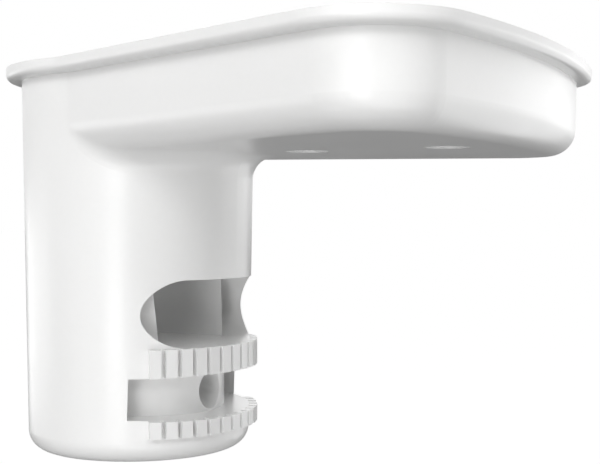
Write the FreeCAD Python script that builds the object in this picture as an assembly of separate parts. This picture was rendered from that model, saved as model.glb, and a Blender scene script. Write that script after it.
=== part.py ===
import FreeCAD, Part
import math
import os

# Detector ceiling bracket, moulded in one piece from white plastic.
# A fan-shaped arm lies against the ceiling under a thin overhanging flange.
# A round post hangs from the arm's narrow end.
# Low on the post two toothed rings stand one above the other, with a slot between them.
# The detector's clamp turns round those rings and one screw through the slot locks it.
# The cable comes down a shaft inside the post and out of the window above the rings.
# Lengths are in millimetres. The model is drawn with the post's axis at x = 0, y = 0
# and the ceiling at z = 0, and it is moved to the centre of the ceiling screws at the end.

NODE = "bracket_body"

# Post
post_r_mid = 17.0
post_mid_z = -24.0
draft_deg = 1.0
post_bottom_z = -56.2
post_foot_fillet = 2.9

# Arm, measured where it meets the flange
arm_depth = 12.65
arm_flare_deg = 20.6
arm_end_x = 62.1
arm_end_arc_r = 150.0
arm_corner_r = 9.6
arm_bottom_fillet = 4.0
arm_post_fillet = 3.5
arm_crease_r = 7.3

# Flange against the ceiling
flange_overhang = 2.25
flange_thickness = 1.9
flange_edge_fillet = 1.0

# Hollow of the arm, open towards the ceiling
arm_wall = 2.2
arm_floor = 2.4
arm_inner_chamfer = 1.2

# Ceiling screws, driven up from below through two bosses
screw_spacing = 20.8
screw_mid_x = 38.9
screw_hole_r = 1.7
screw_head_r = 3.0
screw_head_seat = 3.0
boss_wall = 2.0
rib_thickness = 1.6
rib_below_ceiling = 1.5

# Core of the post, seen at the back of the window and of the slot
core_r = 12.75
cut_back_x = 3.0

# Cable window, a rounded slot cut across the post
window_mid_z = -35.45
window_half_height = 4.75
window_half_width = 13.75

# Cable shaft, from the arm's hollow down to the window
shaft_half_width = 8.7
shaft_draft_deg = 4.3
shaft_r = 12.3

# Slot between the toothed rings
slot_half_width = 14.5
slot_height = 5.4
slot_mid_z = -47.15
slot_draft_deg = 1.85

# Clamp screw hole through the core
clamp_hole_r = 2.8
clamp_hole_chamfer = 0.15

# Teeth of the two rings
tooth_pitch_deg = 7.4
tooth_count = 14
tooth_land_deg = 5.2
tooth_flank_deg = 0.4
tooth_tip_r = 17.8
tooth_root_r = 15.6
tooth_bottom_z = -52.55

# Hollow of the foot, open downwards
foot_hollow_r = 10.2
foot_roof_z = -43.0
foot_flat_x = 8.7

# Overlap used where two solids are joined or a tool runs past a face
pass_by = 1.0

draft = math.tan(math.radians(draft_deg))
flare = math.radians(arm_flare_deg)
side_dir = FreeCAD.Vector(math.cos(flare), -math.sin(flare), 0.0)
side_out = FreeCAD.Vector(-math.sin(flare), -math.cos(flare), 0.0)
up = FreeCAD.Vector(0.0, 0.0, 1.0)
origin = FreeCAD.Vector(0.0, 0.0, 0.0)
along_x = FreeCAD.Vector(1.0, 0.0, 0.0)


def post_radius(z):
    """Radius of the post at height z; it narrows downwards by the mould's draft."""
    return post_r_mid + draft * (z - post_mid_z)


lobe_r = post_radius(-flange_thickness)
arm_end_centre_x = arm_end_x - arm_end_arc_r
window_floor_z = window_mid_z - window_half_height
window_roof_z = window_mid_z + window_half_height
screw_xs = (screw_mid_x - 0.5 * screw_spacing, screw_mid_x + 0.5 * screw_spacing)
cut_front_x = tooth_tip_r + pass_by


def at(x, y, z):
    """Point at x, y, z."""
    return FreeCAD.Vector(x, y, z)


def mirrored(point):
    """The same point on the other side of the plane of symmetry."""
    return at(point.x, -point.y, point.z)


def raised(point, z):
    """The same point at height z."""
    return at(point.x, point.y, z)


def line(a, b):
    """Straight edge from a to b."""
    return Part.LineSegment(a, b).toShape()


def arc(a, middle, b):
    """Circular edge from a to b through a middle point."""
    return Part.Arc(a, middle, b).toShape()


def side_distance(offset):
    """Distance from the post's axis to the side line, moved outwards by offset.

    The side line leaves the lobe at its widest point and opens by the flare angle.
    """
    return lobe_r * math.cos(flare) + offset


def arm_points(offset, z):
    """Points of the arm's near half outline at height z, moved outwards by offset.

    They are the side line's nearest point to the axis, the start, middle and end of
    the corner arc, and the middle of the wide end's shallow arc.
    """
    side_dist = side_distance(offset)
    corner_r = arm_corner_r + offset
    end_r = arm_end_arc_r + offset
    end_centre = at(arm_end_centre_x, 0.0, 0.0)
    base = side_out * (side_dist - corner_r)
    from_end = base - end_centre
    b = from_end.dot(side_dir)
    c = from_end.dot(from_end) - (end_r - corner_r) ** 2
    corner_centre = base + side_dir * (-b + math.sqrt(b * b - c))
    corner_start = corner_centre + side_out * corner_r
    towards = (corner_centre - end_centre).normalize()
    corner_end = end_centre + towards * end_r
    middle_dir = (side_out + towards).normalize()
    corner_middle = corner_centre + middle_dir * corner_r
    end_middle = at(arm_end_centre_x + end_r, 0.0, 0.0)
    points = (side_out * side_dist, corner_start, corner_middle, corner_end, end_middle)
    return [raised(p, z) for p in points]


def arm_wire(offset, z):
    """Closed outline of the arm alone, cut off straight inside the post."""
    foot, start, middle, end, tip = arm_points(offset, z)
    edges = [
        line(foot, start),
        arc(start, middle, end),
        arc(end, tip, mirrored(end)),
        arc(mirrored(end), mirrored(middle), mirrored(start)),
        line(mirrored(start), mirrored(foot)),
        line(mirrored(foot), foot),
    ]
    return Part.Wire(edges)


def plate_wire(offset, z):
    """Closed outline of lobe and arm together, with the crease between them rounded."""
    crease_r = arm_crease_r - offset
    side_dist = side_distance(offset)
    _, start, middle, end, tip = arm_points(offset, z)
    lobe = lobe_r + offset
    run = math.sqrt((lobe + crease_r) ** 2 - (side_dist + crease_r) ** 2)
    centre = side_out * (side_dist + crease_r) + side_dir * run
    on_lobe = centre * (lobe / (lobe + crease_r))
    on_side = centre - side_out * crease_r
    between = (on_lobe + on_side) * 0.5 - centre
    crease_middle = centre + between.normalize() * crease_r
    back = at(-lobe, 0.0, z)
    on_lobe, crease_middle, on_side = [raised(p, z) for p in (on_lobe, crease_middle, on_side)]
    edges = [
        arc(on_lobe, crease_middle, on_side),
        line(on_side, start),
        arc(start, middle, end),
        arc(end, tip, mirrored(end)),
        arc(mirrored(end), mirrored(middle), mirrored(start)),
        line(mirrored(start), mirrored(on_side)),
        arc(mirrored(on_side), mirrored(crease_middle), mirrored(on_lobe)),
        arc(mirrored(on_lobe), back, on_lobe),
    ]
    return Part.Wire(edges)


def edges_at(shape, z, keep=lambda edge: True):
    """Edges that lie wholly at height z and pass the test."""
    found = []
    for edge in shape.Edges:
        box = edge.BoundBox
        if abs(box.ZMin - z) < 1e-4 and abs(box.ZMax - z) < 1e-4 and keep(edge):
            found.append(edge)
    return found


def drafted_arm():
    """The arm's outside, narrowing downwards, with its lower edge rounded."""
    shrink = draft * (arm_depth - flange_thickness)
    top = arm_wire(0.0, -flange_thickness)
    bottom = arm_wire(-shrink, -arm_depth)
    solid = Part.makeLoft([top, bottom], True, True)

    def is_outline(edge):
        return edge.BoundBox.XMax > lobe_r
    return solid.makeFillet(arm_bottom_fillet, edges_at(solid, -arm_depth, is_outline))


def post_solid():
    """The post as a turned profile with a rounded foot."""
    turn_z = post_bottom_z + post_foot_fillet
    turn_r = post_radius(turn_z)
    inner_r = turn_r - post_foot_fillet
    bend = math.cos(math.radians(45.0)) * post_foot_fillet
    profile = Part.Wire([
        line(at(0.0, 0.0, 0.0), at(post_radius(0.0), 0.0, 0.0)),
        line(at(post_radius(0.0), 0.0, 0.0), at(turn_r, 0.0, turn_z)),
        arc(at(turn_r, 0.0, turn_z), at(inner_r + bend, 0.0, turn_z - bend), at(inner_r, 0.0, post_bottom_z)),
        line(at(inner_r, 0.0, post_bottom_z), at(0.0, 0.0, post_bottom_z)),
        line(at(0.0, 0.0, post_bottom_z), at(0.0, 0.0, 0.0)),
    ])
    return Part.Face(profile).revolve(origin, up, 360.0)


def joint_edges(shape):
    """Edges of the curve where the arm's skin runs into the post below the flange."""
    found = []
    for edge in shape.Edges:
        points = edge.discretize(9)
        near = [abs(math.hypot(p.x, p.y) - post_radius(p.z)) < 0.01 for p in points]
        low = min(p.z for p in points)
        high = max(p.z for p in points)
        if all(near) and low > -arm_depth - 0.01 and high < -flange_thickness + 0.01:
            if max(p.x for p in points) > -0.5 * lobe_r and low < -flange_thickness - 0.01:
                found.append(edge)
    return found


def flange():
    """The flange, with its lower outer edge rounded."""
    outline = Part.Face(plate_wire(flange_overhang, -flange_thickness))
    solid = outline.extrude(up * flange_thickness)
    return solid.makeFillet(flange_edge_fillet, edges_at(solid, -flange_thickness))


def arm_hollow():
    """Tool for the arm's hollow: the outline inset by the wall, with a bevelled floor edge."""
    floor_z = -arm_depth + arm_floor
    top_inset = arm_wall - draft * (flange_thickness + pass_by)
    low_inset = arm_wall + draft * (-floor_z - flange_thickness)
    top = plate_wire(-top_inset, pass_by)
    bottom = plate_wire(-low_inset, floor_z)
    solid = Part.makeLoft([top, bottom], True, True)
    return solid.makeChamfer(arm_inner_chamfer, edges_at(solid, floor_z))


def screw_bosses(skin):
    """Two round bosses from the arm's floor to the ceiling, tied to the walls by ribs.

    The ribs are cut to the arm's outside, so that none stands out of its rounded edge.
    """
    bosses = []
    ribs = []
    floor_z = -arm_depth + 0.5 * arm_floor
    boss_r = screw_head_r + boss_wall
    rib_top = -rib_below_ceiling
    for x in screw_xs:
        bosses.append(Part.makeCylinder(boss_r, -floor_z, at(x, 0.0, floor_z), up))
        half_width = (lobe_r * math.cos(flare) + x * math.sin(flare)) / math.cos(flare) - 0.5 * arm_wall
        corner = at(x - 0.5 * rib_thickness, -half_width, floor_z)
        ribs.append(Part.makeBox(rib_thickness, 2.0 * half_width, rib_top - floor_z, corner).common(skin))
    corner = at(screw_xs[0], -0.5 * rib_thickness, floor_z)
    ribs.append(Part.makeBox(screw_spacing, rib_thickness, rib_top - floor_z, corner))
    return bosses + ribs


def screw_cuts():
    """Tools for the two ceiling screws: a wide bore for the head and a hole for the shank."""
    parts = []
    for x in screw_xs:
        low = at(x, 0.0, -arm_depth - pass_by)
        parts.append(Part.makeCylinder(screw_head_r, arm_depth + pass_by - screw_head_seat, low, up))
        parts.append(Part.makeCylinder(screw_hole_r, screw_head_seat + 2.0 * pass_by,
                                       at(x, 0.0, -screw_head_seat - pass_by), up))
    return parts


def core():
    """The post's core, which the window and the slot leave standing."""
    return Part.makeCylinder(core_r, -post_bottom_z, at(0.0, 0.0, post_bottom_z), up)


def window_prism(x0, x1):
    """The window's rounded slot outline, pushed along X from x0 to x1."""
    flat = window_half_width - window_half_height
    low = window_floor_z
    high = window_roof_z
    profile = Part.Wire([
        line(at(x0, -flat, low), at(x0, flat, low)),
        arc(at(x0, flat, low), at(x0, window_half_width, window_mid_z), at(x0, flat, high)),
        line(at(x0, flat, high), at(x0, -flat, high)),
        arc(at(x0, -flat, high), at(x0, -window_half_width, window_mid_z), at(x0, -flat, low)),
    ])
    return Part.Face(profile).extrude(along_x * (x1 - x0))


def window_cut():
    """Tool for the cable window, as deep as the core."""
    return window_prism(cut_back_x, cut_front_x).cut(core())


def shaft_cut():
    """Tool for the cable shaft: flat drafted sides, round back, open to the window in front."""
    low = window_floor_z
    high = -arm_depth + arm_floor + pass_by
    rise = high - low
    half_high = shaft_half_width + math.tan(math.radians(shaft_draft_deg)) * rise
    ends = []
    for x in (-post_r_mid, post_r_mid):
        ends.append(Part.makePolygon([at(x, -shaft_half_width, low), at(x, shaft_half_width, low),
                                      at(x, half_high, high), at(x, -half_high, high),
                                      at(x, -shaft_half_width, low)]))
    between_sides = Part.makeLoft(ends, True, True)
    bore = Part.makeCylinder(shaft_r, rise, at(0.0, 0.0, low), up)
    mouth = window_prism(0.0, core_r + pass_by)
    return bore.fuse(mouth).common(between_sides)


def slot_cut():
    """Tool for the slot between the rings, a little higher at its mouth than inside."""
    half_in = 0.5 * slot_height
    half_out = half_in + math.tan(math.radians(slot_draft_deg)) * (cut_front_x - cut_back_x)
    ends = []
    for x, half in ((cut_back_x, half_in), (cut_front_x, half_out)):
        ends.append(Part.makePolygon([at(x, -slot_half_width, slot_mid_z - half),
                                      at(x, slot_half_width, slot_mid_z - half),
                                      at(x, slot_half_width, slot_mid_z + half),
                                      at(x, -slot_half_width, slot_mid_z + half),
                                      at(x, -slot_half_width, slot_mid_z - half)]))
    return Part.makeLoft(ends, True, True).cut(core())


def clamp_screw_cut():
    """Tool for the clamp screw's hole along X, with a small bevel that follows the core's surface."""
    hole = Part.makeCylinder(clamp_hole_r, post_r_mid, at(0.0, 0.0, slot_mid_z), along_x)
    drilled = core().cut(hole)

    def is_mouth(edge):
        for p in edge.discretize(9):
            off_core = abs(math.hypot(p.x, p.y) - core_r)
            off_hole = abs(math.hypot(p.y, p.z - slot_mid_z) - clamp_hole_r)
            if max(off_core, off_hole) > 1e-3:
                return False
        return True
    bevelled = drilled.makeChamfer(clamp_hole_chamfer, [e for e in drilled.Edges if is_mouth(e)])
    return core().cut(bevelled)


def foot_cut():
    """Tool for the foot's hollow: round, with a flat behind the clamp screw."""
    height = foot_roof_z - post_bottom_z + pass_by
    bore = Part.makeCylinder(foot_hollow_r, height, at(0.0, 0.0, post_bottom_z - pass_by), up)
    reach = foot_hollow_r + pass_by
    corner = at(-reach, -reach, post_bottom_z - 2.0 * pass_by)
    room = Part.makeBox(reach + foot_flat_x, 2.0 * reach, height + 2.0 * pass_by, corner)
    return bore.common(room)


def tooth(turn_deg):
    """One flat-topped tooth over the height of both rings."""
    half_land = math.radians(0.5 * tooth_land_deg)
    half_root = half_land + math.radians(tooth_flank_deg)

    def on(radius, angle):
        return at(radius * math.cos(angle), radius * math.sin(angle), tooth_bottom_z)
    profile = Part.Wire([
        line(on(tooth_root_r, -half_root), on(tooth_tip_r, -half_land)),
        line(on(tooth_tip_r, -half_land), on(tooth_tip_r, half_land)),
        line(on(tooth_tip_r, half_land), on(tooth_root_r, half_root)),
        line(on(tooth_root_r, half_root), on(tooth_root_r, -half_root)),
    ])
    solid = Part.Face(profile).extrude(up * (window_floor_z - tooth_bottom_z))
    solid.rotate(origin, up, turn_deg)
    return solid


def teeth():
    """The row of teeth round the front of the post."""
    first = -0.5 * tooth_pitch_deg * (tooth_count - 1)
    return [tooth(first + tooth_pitch_deg * n) for n in range(tooth_count)]


arm_and_post = drafted_arm().fuse(post_solid()).removeSplitter()
arm_and_post = arm_and_post.makeFillet(arm_post_fillet, joint_edges(arm_and_post))
outside = arm_and_post.fuse([flange()])
body = outside.cut(arm_hollow())
body = body.fuse(screw_bosses(outside) + teeth())
body = body.cut([shaft_cut(), window_cut(), slot_cut(), clamp_screw_cut(), foot_cut()] + screw_cuts())
body = body.removeSplitter()
body.translate(at(-screw_mid_x, 0.0, 0.0))

print("solids", len(body.Solids), "valid", body.isValid(), "volume mm3", round(body.Volume, 1))
box = body.optimalBoundingBox(True, False)
print("length", round(box.XLength, 2), "width", round(box.YLength, 2), "height", round(box.ZLength, 2))
print("x", round(box.XMin, 2), round(box.XMax, 2), "z", round(box.ZMin, 2), round(box.ZMax, 2))

os.makedirs("parts", exist_ok=True)
body.Solids[0].exportStep("parts/" + NODE + ".step")
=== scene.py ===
# %% [markdown]
# # A ceiling bracket for a motion detector
#
# The bracket is one white plastic moulding. A thin flange lies against the
# ceiling, a fan-shaped arm runs under it, and a round post hangs from the
# arm's narrow end. Low on the post are a cable window and two toothed rings,
# which the detector's clamp grips.
#
# The solid comes from the part's own source, measured and packed, and its
# shape is already right: every edge, hole and tooth is in it. So this script
# doesn't model anything again. It gives that solid its finish, lights it as
# a studio would, and looks at it from the place the photograph was taken.

# %% Load the measured part
import math

import bpy
import numpy as np
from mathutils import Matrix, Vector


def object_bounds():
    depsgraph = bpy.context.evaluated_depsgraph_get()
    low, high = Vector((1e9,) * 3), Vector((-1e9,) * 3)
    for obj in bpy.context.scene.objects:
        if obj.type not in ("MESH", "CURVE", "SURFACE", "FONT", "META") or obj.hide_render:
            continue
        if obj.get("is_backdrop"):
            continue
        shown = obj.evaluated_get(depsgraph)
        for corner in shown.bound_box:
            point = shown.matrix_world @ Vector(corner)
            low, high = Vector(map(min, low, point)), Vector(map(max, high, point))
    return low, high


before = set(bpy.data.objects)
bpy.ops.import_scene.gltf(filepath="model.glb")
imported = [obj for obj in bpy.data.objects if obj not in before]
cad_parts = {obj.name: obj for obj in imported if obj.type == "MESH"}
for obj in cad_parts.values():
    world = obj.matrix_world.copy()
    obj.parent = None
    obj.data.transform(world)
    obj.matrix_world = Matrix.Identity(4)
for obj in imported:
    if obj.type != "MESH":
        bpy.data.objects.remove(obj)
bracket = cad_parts["bracket_body"]
solid_box = [list(corner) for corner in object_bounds()]
size_mm = 1000 * (np.array(solid_box[1]) - np.array(solid_box[0]))
print("bracket, length width height in mm:", size_mm.round(1))
print("triangles in its mesh:", len(bracket.data.polygons))

# %% [markdown]
# ## The camera
#
# Everything else depends on where the eye is, so the camera comes first. Its
# place was worked out from the outlines in the photograph: 180 mm from the
# post, but only 120 mm from the nearer corner of the arm's wide end, and just
# below the arm. A camera that near makes the wide end look large and the
# underside slant, as the photograph shows. A longer lens from further away
# would flatten both.

# %% Set the camera
eye = (0.064797, -0.147848, -0.022171)
turn_about_up = 27.308
look_down = 0.62
lens_mm = 70.755
sensor_mm = 36.0
nearest_seen = 0.01
furthest_seen = 100.0

camera_data = bpy.data.cameras.new("camera")
camera_data.lens = lens_mm
camera_data.sensor_width = sensor_mm
camera_data.clip_start = nearest_seen
camera_data.clip_end = furthest_seen
camera = bpy.data.objects.new("camera", camera_data)
camera.location = eye
camera.rotation_euler = (math.radians(90.0 - look_down), 0.0, math.radians(turn_about_up))
bpy.context.scene.collection.objects.link(camera)
bpy.context.scene.camera = camera
eye_mm = [round(1000 * c, 1) for c in eye]
print("camera at", eye_mm, "mm, turned", turn_about_up, "degrees, lens", lens_mm, "mm")

# %% [markdown]
# ## Helpers for nodes
#
# A material is a small network of nodes. Two short helpers keep the cells
# that build one readable: the first adds a node and fills its sockets by
# name, the second joins two sockets.


# %% Node helpers
def add_node(tree, kind, at=(0, 0), **values):
    """Adds a node of that kind at that place in the editor, and sets its values.

    A name that the node has as an option sets that option. Any other name fills the
    input socket called so, with a space for each underscore.
    """
    node = tree.nodes.new(kind)
    node.location = at
    for name, value in values.items():
        if hasattr(node, name):
            setattr(node, name, value)
        else:
            node.inputs[name.replace("_", " ")].default_value = value
    return node


def join(tree, start, out_socket, end, in_socket):
    """Joins an output socket to an input socket, each given by its name or its number."""
    tree.links.new(start.outputs[out_socket], end.inputs[in_socket])


# %% [markdown]
# ## White moulded plastic
#
# The bracket is a glossy white plastic. Close up, such a moulding is never
# one flat white: the colour drifts a little where the melt flowed, the
# polish of the mould isn't even, and the surface carries a fine grain and
# very soft waves from shrinking. All of that is worked out from Object
# coordinates, so it stays fixed to the part from any side.

# %% Start the plastic
plastic_ior = 1.5

plastic = bpy.data.materials.new("white_moulded_plastic")
plastic.use_nodes = True
tree = plastic.node_tree
tree.nodes.clear()
output = add_node(tree, "ShaderNodeOutputMaterial", (900, 0))
shader = add_node(tree, "ShaderNodeBsdfPrincipled", (600, 0))
shader.inputs["IOR"].default_value = plastic_ior
join(tree, shader, "BSDF", output, "Surface")
place = add_node(tree, "ShaderNodeTexCoord", (-1100, 0))
print("refractive index of the plastic:", plastic_ior)

# %% [markdown]
# The colour first. One wide noise, some 30 mm across, stands for the drift
# of the melt, and a fine one, under a millimetre, for the pigment. Both are
# weak, a percent or so, because a strong pattern would read as dirt. The
# scale of a noise says how many of its patches fit in a metre. Its values lie
# mostly between 0.3 and 0.7, so that span is spread over the two colours.

# %% Colour of the plastic
drift_scale = 32.0
pigment_scale = 1400.0
pigment_share = 0.35
noise_low = 0.3
noise_high = 0.7
duller_white = (0.800, 0.800, 0.795, 1.0)
purer_white = (0.824, 0.824, 0.820, 1.0)

drift = add_node(tree, "ShaderNodeTexNoise", (-800, 300),
                 Scale=drift_scale, Detail=2.0, Roughness=0.45)
pigment = add_node(tree, "ShaderNodeTexNoise", (-800, 100),
                   Scale=pigment_scale, Detail=3.0, Roughness=0.6)
both = add_node(tree, "ShaderNodeMix", (-560, 220), data_type="FLOAT", Factor=pigment_share)
tint = add_node(tree, "ShaderNodeValToRGB", (-320, 250))
dull_end, pure_end = tint.color_ramp.elements
dull_end.position = noise_low
dull_end.color = duller_white
pure_end.position = noise_high
pure_end.color = purer_white
join(tree, place, "Object", drift, "Vector")
join(tree, place, "Object", pigment, "Vector")
join(tree, drift, "Fac", both, 2)
join(tree, pigment, "Fac", both, 3)
join(tree, both, 0, tint, "Fac")
join(tree, tint, "Color", shader, "Base Color")
print("plastic colour from", duller_white[:3], "to", purer_white[:3])

# %% [markdown]
# The gloss next. A polished mould gives a roughness near 0.3. It wanders a
# little from place to place, so that a reflection isn't equally sharp
# everywhere. It never falls below 0.28: the denoiser treats a gloss sharper than
# about 0.27 in another way, and where the noise crossed that value, its
# border showed in the render as a faint patch, like a stain.

# %% Gloss of the plastic
polish_scale = 75.0
smoothest = 0.28
roughest = 0.33

polish = add_node(tree, "ShaderNodeTexNoise", (-800, -120),
                  Scale=polish_scale, Detail=4.0, Roughness=0.55)
gloss = add_node(tree, "ShaderNodeMapRange", (-560, -120),
                 From_Min=noise_low, From_Max=noise_high, To_Min=smoothest, To_Max=roughest)
join(tree, place, "Object", polish, "Vector")
join(tree, polish, "Fac", gloss, "Value")
join(tree, gloss, "Result", shader, "Roughness")
print("roughness", smoothest, "to", roughest, "in patches of", round(1000 / polish_scale), "mm")

# %% [markdown]
# Then the surface itself. A Bump node turns a height into a tilt of the
# normal. The grain of the mould is about a quarter of a millimetre wide and a
# thousandth or two high. The soft waves are some 9 mm long and a hundredth
# high, so their slopes are gentler still. The heights below are in metres,
# for a noise that runs all the way from 0 to 1.

# %% Grain and waves of the surface
grain_scale = 4200.0
grain_height = 0.000004
wave_scale = 110.0
wave_height = 0.00003

grain = add_node(tree, "ShaderNodeTexNoise", (-800, -340),
                 Scale=grain_scale, Detail=2.0, Roughness=0.5)
waves = add_node(tree, "ShaderNodeTexNoise", (-800, -540),
                 Scale=wave_scale, Detail=1.0, Roughness=0.4)
wave_bump = add_node(tree, "ShaderNodeBump", (0, -420), Strength=0.5, Distance=wave_height)
grain_bump = add_node(tree, "ShaderNodeBump", (250, -340), Strength=0.35, Distance=grain_height)
join(tree, place, "Object", grain, "Vector")
join(tree, place, "Object", waves, "Vector")
join(tree, waves, "Fac", wave_bump, "Height")
join(tree, grain, "Fac", grain_bump, "Height")
join(tree, wave_bump, "Normal", grain_bump, "Normal")
join(tree, grain_bump, "Normal", shader, "Normal")

for slot in bracket.material_slots:
    slot.material = plastic
print("nodes in the plastic:", len(tree.nodes))
print("slots that got it:", len(bracket.material_slots))

# %% [markdown]
# ## The floor
#
# The bracket hangs, so nothing stands under it. A pale floor lies half a
# metre below and runs on to the horizon, because the camera looks almost
# level. Two things are asked of it that a plain paint can't give together.
# The camera should see it white, as in the photograph, and yet it should
# throw back no more light than a grey floor does, or the underside of the arm
# would be too bright. So its paint is a grey that takes the lamps' light and
# the bracket's soft shadow, and a Light Path node adds a glow that only some
# rays see.

# %% Floor
floor_drop = 0.5
floor_half = 36.0
floor_grey = (0.3, 0.3, 0.3, 1.0)

corners = np.array([(-1, -1), (1, -1), (1, 1), (-1, 1)], float) * floor_half
floor_points = [(x, y, -floor_drop) for x, y in corners]
floor_mesh = bpy.data.meshes.new("floor")
floor_mesh.from_pydata(floor_points, [], [(0, 1, 2, 3)])
floor = bpy.data.objects.new("floor", floor_mesh)
bpy.context.scene.collection.objects.link(floor)
floor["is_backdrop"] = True
print("floor", floor_drop, "m below the ceiling plane,", 2 * floor_half, "m wide")

# %% [markdown]
# The glow is a little weaker under the bracket, where the lamps light the
# paint, and full from two metres on, where their light has faded. The sum is
# then about white everywhere, and the shadow still shows in it. Rays that the
# plastic's gloss mirrors see the glow too, but weakly: the arm's underside is
# seen at a very flat angle, at which plastic mirrors almost like glass, and
# in the photograph it is a quiet grey.

# %% Paint of the floor
glow_near = 0.8
near_ends = 0.6
glow_far = 1.0
far_starts = 2.0
glow_in_gloss = 0.05

floor_paint = bpy.data.materials.new("pale_floor")
floor_paint.use_nodes = True
tree = floor_paint.node_tree
tree.nodes.clear()
output = add_node(tree, "ShaderNodeOutputMaterial", (800, 0))
matt = add_node(tree, "ShaderNodeBsdfDiffuse", (400, 100), Color=floor_grey)
place = add_node(tree, "ShaderNodeTexCoord", (-1000, -200))
reach = add_node(tree, "ShaderNodeVectorMath", (-800, -200), operation="LENGTH")
fade = add_node(tree, "ShaderNodeMapRange", (-600, -200),
                From_Min=near_ends, From_Max=far_starts, To_Min=glow_near, To_Max=glow_far)
ray = add_node(tree, "ShaderNodeLightPath", (-1000, 300))
looked_at = add_node(tree, "ShaderNodeMath", (-600, 300), operation="MAXIMUM")
mirrored = add_node(tree, "ShaderNodeMath", (-600, 120), operation="MULTIPLY")
who_sees = add_node(tree, "ShaderNodeMath", (-380, 220), operation="MAXIMUM")
strength = add_node(tree, "ShaderNodeMath", (-160, 60), operation="MULTIPLY")
glow = add_node(tree, "ShaderNodeEmission", (100, -60))
both_shaders = add_node(tree, "ShaderNodeAddShader", (620, 0))
mirrored.inputs[1].default_value = glow_in_gloss
join(tree, place, "Object", reach, 0)
join(tree, reach, "Value", fade, "Value")
join(tree, ray, "Is Camera Ray", looked_at, 0)
join(tree, ray, "Is Transmission Ray", looked_at, 1)
join(tree, ray, "Is Glossy Ray", mirrored, 0)
join(tree, looked_at, 0, who_sees, 0)
join(tree, mirrored, 0, who_sees, 1)
join(tree, who_sees, 0, strength, 0)
join(tree, fade, "Result", strength, 1)
join(tree, strength, 0, glow, "Strength")
join(tree, matt, 0, both_shaders, 0)
join(tree, glow, 0, both_shaders, 1)
join(tree, both_shaders, 0, output, "Surface")
floor_mesh.materials.append(floor_paint)
print("glow of the floor:", glow_near, "up to", near_ends, "m")
print("and", glow_far, "from", far_starts, "m on, of which the gloss mirrors", glow_in_gloss)

# %% [markdown]
# ## The backdrop
#
# Above the horizon there is only the world. It is white to the camera and in
# mirrored rays, and it gives no light of its own, so all the shading comes
# from the lamps and can be set lamp by lamp. The Light Path node says what
# kind of ray asks: its answer, 1 or 0, is the backdrop's strength.

# %% World
world = bpy.data.worlds.new("white_room")
world.use_nodes = True
bpy.context.scene.world = world
tree = world.node_tree
tree.nodes.clear()
output = add_node(tree, "ShaderNodeOutputWorld", (700, 0))
backdrop = add_node(tree, "ShaderNodeBackground", (400, 0), Color=(1.0, 1.0, 1.0, 1.0))
ray = add_node(tree, "ShaderNodeLightPath", (-600, 0))
seen_or_mirrored = add_node(tree, "ShaderNodeMath", (-300, 100), operation="MAXIMUM")
looked_at = add_node(tree, "ShaderNodeMath", (0, 0), operation="MAXIMUM")
join(tree, ray, "Is Camera Ray", seen_or_mirrored, 0)
join(tree, ray, "Is Glossy Ray", seen_or_mirrored, 1)
join(tree, seen_or_mirrored, 0, looked_at, 0)
join(tree, ray, "Is Transmission Ray", looked_at, 1)
join(tree, looked_at, 0, backdrop, "Strength")
join(tree, backdrop, 0, output, "Surface")
bpy.context.scene.view_settings.view_transform = "Standard"
print("nodes in the world:", len(tree.nodes))

# %% [markdown]
# ## The lamps
#
# The photograph's light is soft and comes from all round: the post and the
# arm's side are almost evenly bright, and only the underside and the openings
# are grey. Large flat panels give such light, like the cloth boxes of a
# studio. Each is described by what it covers as seen from the bracket: the
# direction of its middle, how far it reaches to each side, and its lowest and
# highest angle. Their powers were found by rendering the bracket under each
# panel alone and weighing the results against the photograph. The last panel
# is the exception: it stands behind on the left, where the photograph shows
# nothing, so that the bracket's far side isn't left in the dark. All of them
# stay out of the camera's sight, so that every view shows a plain background.
# The angles are in degrees and the powers in watts.


# %% Lamps
lamp_distance = 0.9
low_lamp_distance = 0.6  # nearer, because further away it would be under the floor
bracket_centre = np.mean(solid_box, axis=0)


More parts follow.
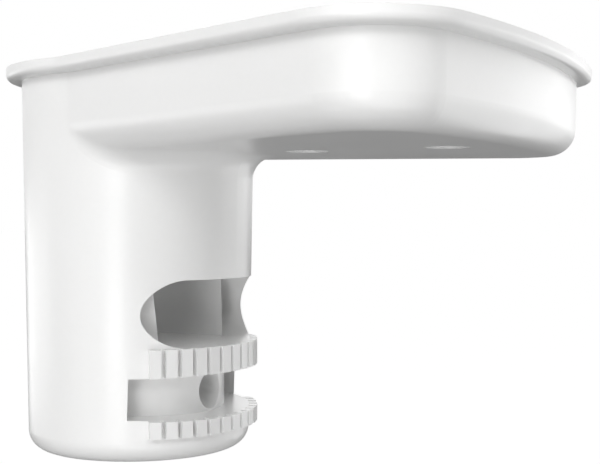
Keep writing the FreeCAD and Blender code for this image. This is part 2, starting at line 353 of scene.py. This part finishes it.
def soft_panel(name, azimuth, half_width, lowest, highest, power, distance=lamp_distance):
    """A flat oblong lamp that faces the bracket, given by the angles it covers.

    Azimuth 0 is towards -Y and 90 towards +X. A panel at distance d, in metres, that
    covers an angle a to each side of its middle is 2 d tan(a) wide.
    """
    turn = math.radians(azimuth)
    middle = math.radians(0.5 * (lowest + highest))
    half_height = math.radians(0.5 * (highest - lowest))
    level = math.cos(middle)
    away = np.array([math.sin(turn) * level, -math.cos(turn) * level, math.sin(middle)])
    data = bpy.data.lights.new(name, "AREA")
    data.shape = "RECTANGLE"
    data.size = 2.0 * distance * math.tan(math.radians(half_width))
    data.size_y = 2.0 * distance * math.tan(half_height)
    data.energy = power
    panel = bpy.data.objects.new(name, data)
    panel.location = bracket_centre + away * distance
    panel.rotation_euler = (math.radians(90.0) - middle, 0.0, turn)
    panel.visible_camera = False
    bpy.context.scene.collection.objects.link(panel)
    return panel


# Name, direction, reach to each side, lowest and highest angle, power.
lamps = [
    soft_panel("above_in_front", 10.0, 40.0, 21.0, 40.0, 4.0),
    soft_panel("level_in_front", 0.0, 20.0, 0.0, 21.0, 1.3),
    soft_panel("straight_in_front", 10.0, 8.0, -12.0, 0.0, 1.3),
    soft_panel("below_in_front", 20.0, 50.0, -28.0, -12.0, 1.95),
    soft_panel("low_on_the_right", 50.0, 35.0, -40.0, -28.0, 0.95, low_lamp_distance),
    soft_panel("left_side", -90.0, 26.0, -12.0, 0.0, 1.35),
    soft_panel("high_left", -60.0, 40.0, 21.0, 40.0, 2.5),
    soft_panel("high_right", 60.0, 30.0, 21.0, 40.0, 0.8),
    soft_panel("top_right", 60.0, 8.0, 40.0, 65.0, 1.95),
    soft_panel("behind_right", 150.0, 26.0, -28.0, 10.0, 3.3),
    soft_panel("behind_left", -150.0, 35.0, 12.0, 35.0, 3.0),
]
for lamp in lamps:
    panel_size = round(lamp.data.size, 2), "x", round(lamp.data.size_y, 2), "m,"
    print(lamp.name, *panel_size, round(lamp.data.energy, 2), "W")

# %% [markdown]
# ## Sizes, and the end
#
# Nothing was added to the solid, so its box before and after must be the
# same.

# %% How much the box grew
shown_box = [list(corner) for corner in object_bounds()]
growth_mm = 1000 * np.abs(np.array(shown_box) - np.array(solid_box)).max()
print("box grew by", growth_mm.round(3), "mm")
